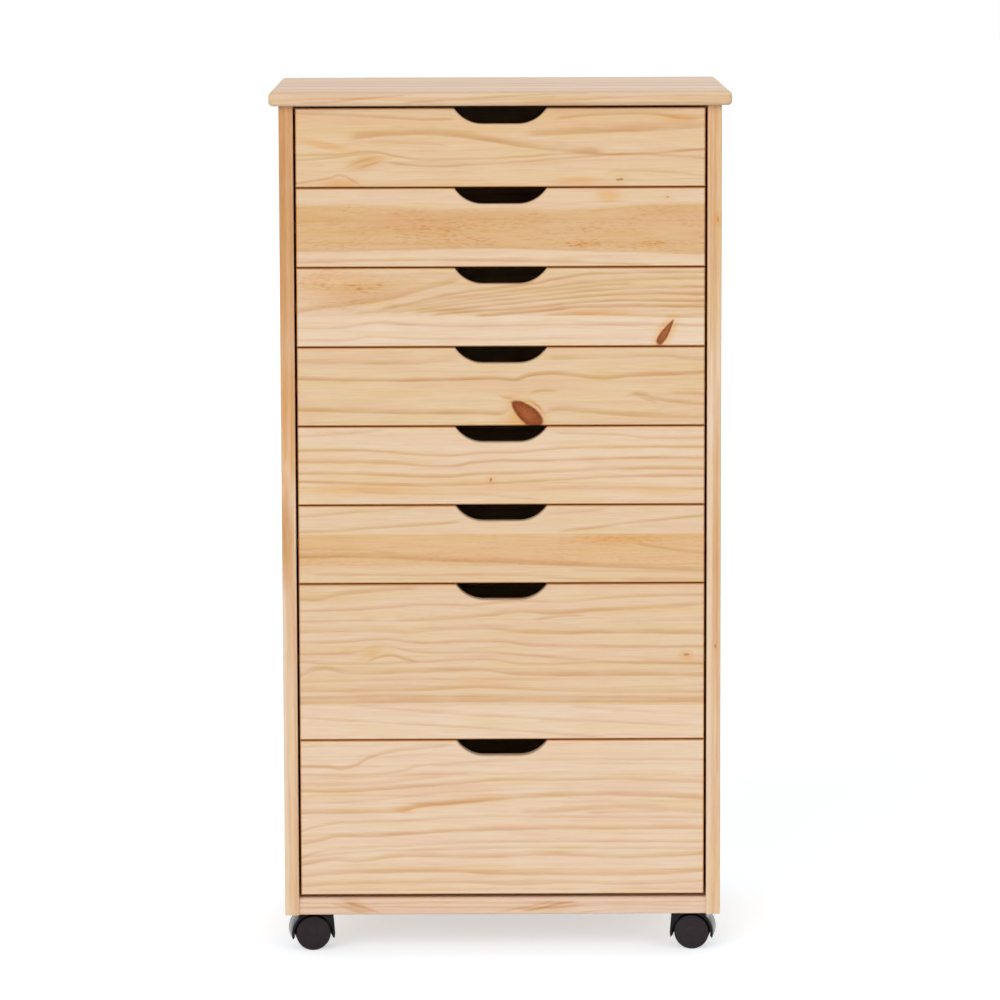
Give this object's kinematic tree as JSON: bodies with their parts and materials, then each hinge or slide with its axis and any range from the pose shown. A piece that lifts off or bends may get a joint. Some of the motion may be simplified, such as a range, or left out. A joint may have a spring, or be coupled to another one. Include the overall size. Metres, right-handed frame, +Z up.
{
  "type": "rolling drawer cart",
  "caption": "Tall pine storage cart: shallow drawers over deep ones, each with a scooped finger pull, under an overhanging top, on hooded twin-wheel swivel casters.",
  "frame": {"origin": "on the floor, at the middle of the top board's outline", "axes": "+Z up, +Y to the back, drawers open towards -Y, +X to the viewer's right"},
  "size_m": [0.52, 0.391, 0.987],
  "materials": {
    "pine": "clear satin lacquer over pale pine with visible growth-ring grain",
    "plywood": "unfinished thin plywood",
    "runner_wood": "smooth unfinished hardwood",
    "caster_nylon": "moulded black nylon, satin to glossy",
    "wheel_nylon": "moulded black nylon, satin",
    "steel": "zinc-plated"
  },
  "bodies": {
    "carcass": {"top_board": "pine", "side_left": "pine", "side_right": "pine", "base_board": "pine", "back_panel": "plywood", "top_cleats": "pine", "runners_left": "runner_wood", "runners_right": "runner_wood", "caster_stems": "steel"},
    "drawer_1": {"drawer_1_front": "pine", "drawer_1_sides": "pine", "drawer_1_back": "pine", "drawer_1_floor": "plywood"},
    "drawer_2": {"drawer_2_front": "pine", "drawer_2_sides": "pine", "drawer_2_back": "pine", "drawer_2_floor": "plywood"},
    "drawer_3": {"drawer_3_front": "pine", "drawer_3_sides": "pine", "drawer_3_back": "pine", "drawer_3_floor": "plywood"},
    "drawer_4": {"drawer_4_front": "pine", "drawer_4_sides": "pine", "drawer_4_back": "pine", "drawer_4_floor": "plywood"},
    "drawer_5": {"drawer_5_front": "pine", "drawer_5_sides": "pine", "drawer_5_back": "pine", "drawer_5_floor": "plywood"},
    "drawer_6": {"drawer_6_front": "pine", "drawer_6_sides": "pine", "drawer_6_back": "pine", "drawer_6_floor": "plywood"},
    "drawer_7": {"drawer_7_front": "pine", "drawer_7_sides": "pine", "drawer_7_back": "pine", "drawer_7_floor": "plywood"},
    "drawer_8": {"drawer_8_front": "pine", "drawer_8_sides": "pine", "drawer_8_back": "pine", "drawer_8_floor": "plywood"},
    "caster_front_left": {"caster_front_left_hood": "caster_nylon", "caster_front_left_axle": "steel"},
    "caster_front_left_wheel_1": {"caster_front_left_wheel_1": "wheel_nylon"},
    "caster_front_left_wheel_2": {"caster_front_left_wheel_2": "wheel_nylon"},
    "caster_front_right": {"caster_front_right_hood": "caster_nylon", "caster_front_right_axle": "steel"},
    "caster_front_right_wheel_1": {"caster_front_right_wheel_1": "wheel_nylon"},
    "caster_front_right_wheel_2": {"caster_front_right_wheel_2": "wheel_nylon"},
    "caster_rear_left": {"caster_rear_left_hood": "caster_nylon", "caster_rear_left_axle": "steel"},
    "caster_rear_left_wheel_1": {"caster_rear_left_wheel_1": "wheel_nylon"},
    "caster_rear_left_wheel_2": {"caster_rear_left_wheel_2": "wheel_nylon"},
    "caster_rear_right": {"caster_rear_right_hood": "caster_nylon", "caster_rear_right_axle": "steel"},
    "caster_rear_right_wheel_1": {"caster_rear_right_wheel_1": "wheel_nylon"},
    "caster_rear_right_wheel_2": {"caster_rear_right_wheel_2": "wheel_nylon"}
  },
  "joints": [
    {"name": "drawer_1_slide", "type": "slide", "parent": "carcass", "child": "drawer_1", "axis": [0, -1, 0], "range_m": [0, 0.26]},
    {"name": "drawer_2_slide", "type": "slide", "parent": "carcass", "child": "drawer_2", "axis": [0, -1, 0], "range_m": [0, 0.26]},
    {"name": "drawer_3_slide", "type": "slide", "parent": "carcass", "child": "drawer_3", "axis": [0, -1, 0], "range_m": [0, 0.26]},
    {"name": "drawer_4_slide", "type": "slide", "parent": "carcass", "child": "drawer_4", "axis": [0, -1, 0], "range_m": [0, 0.26]},
    {"name": "drawer_5_slide", "type": "slide", "parent": "carcass", "child": "drawer_5", "axis": [0, -1, 0], "range_m": [0, 0.26]},
    {"name": "drawer_6_slide", "type": "slide", "parent": "carcass", "child": "drawer_6", "axis": [0, -1, 0], "range_m": [0, 0.26]},
    {"name": "drawer_7_slide", "type": "slide", "parent": "carcass", "child": "drawer_7", "axis": [0, -1, 0], "range_m": [0, 0.26]},
    {"name": "drawer_8_slide", "type": "slide", "parent": "carcass", "child": "drawer_8", "axis": [0, -1, 0], "range_m": [0, 0.26]},
    {"name": "swivel_front_left", "type": "hinge", "parent": "carcass", "child": "caster_front_left", "pos_m": [-0.206, -0.1395, 0.0435], "axis": [0, 0, 1], "continuous": true},
    {"name": "wheel_front_left_1", "type": "hinge", "parent": "caster_front_left", "child": "caster_front_left_wheel_1", "pos_m": [-0.21986, -0.14145, 0.02], "axis": [-0.1392, 0.9903, 0], "continuous": true},
    {"name": "wheel_front_left_2", "type": "hinge", "parent": "caster_front_left", "child": "caster_front_left_wheel_2", "pos_m": [-0.21986, -0.14145, 0.02], "axis": [-0.1392, 0.9903, 0], "continuous": true},
    {"name": "swivel_front_right", "type": "hinge", "parent": "carcass", "child": "caster_front_right", "pos_m": [0.206, -0.1395, 0.0435], "axis": [0, 0, 1], "continuous": true},
    {"name": "wheel_front_right_1", "type": "hinge", "parent": "caster_front_right", "child": "caster_front_right_wheel_1", "pos_m": [0.21986, -0.14145, 0.02], "axis": [0.1392, 0.9903, 0], "continuous": true},
    {"name": "wheel_front_right_2", "type": "hinge", "parent": "caster_front_right", "child": "caster_front_right_wheel_2", "pos_m": [0.21986, -0.14145, 0.02], "axis": [0.1392, 0.9903, 0], "continuous": true},
    {"name": "swivel_rear_left", "type": "hinge", "parent": "carcass", "child": "caster_rear_left", "pos_m": [-0.206, 0.1525, 0.0435], "axis": [0, 0, 1], "continuous": true},
    {"name": "wheel_rear_left_1", "type": "hinge", "parent": "caster_rear_left", "child": "caster_rear_left_wheel_1", "pos_m": [-0.21986, 0.15055, 0.02], "axis": [-0.1392, 0.9903, 0], "continuous": true},
    {"name": "wheel_rear_left_2", "type": "hinge", "parent": "caster_rear_left", "child": "caster_rear_left_wheel_2", "pos_m": [-0.21986, 0.15055, 0.02], "axis": [-0.1392, 0.9903, 0], "continuous": true},
    {"name": "swivel_rear_right", "type": "hinge", "parent": "carcass", "child": "caster_rear_right", "pos_m": [0.206, 0.1525, 0.0435], "axis": [0, 0, 1], "continuous": true},
    {"name": "wheel_rear_right_1", "type": "hinge", "parent": "caster_rear_right", "child": "caster_rear_right_wheel_1", "pos_m": [0.21986, 0.15055, 0.02], "axis": [0.1392, 0.9903, 0], "continuous": true},
    {"name": "wheel_rear_right_2", "type": "hinge", "parent": "caster_rear_right", "child": "caster_rear_right_wheel_2", "pos_m": [0.21986, 0.15055, 0.02], "axis": [0.1392, 0.9903, 0], "continuous": true}
  ]
}
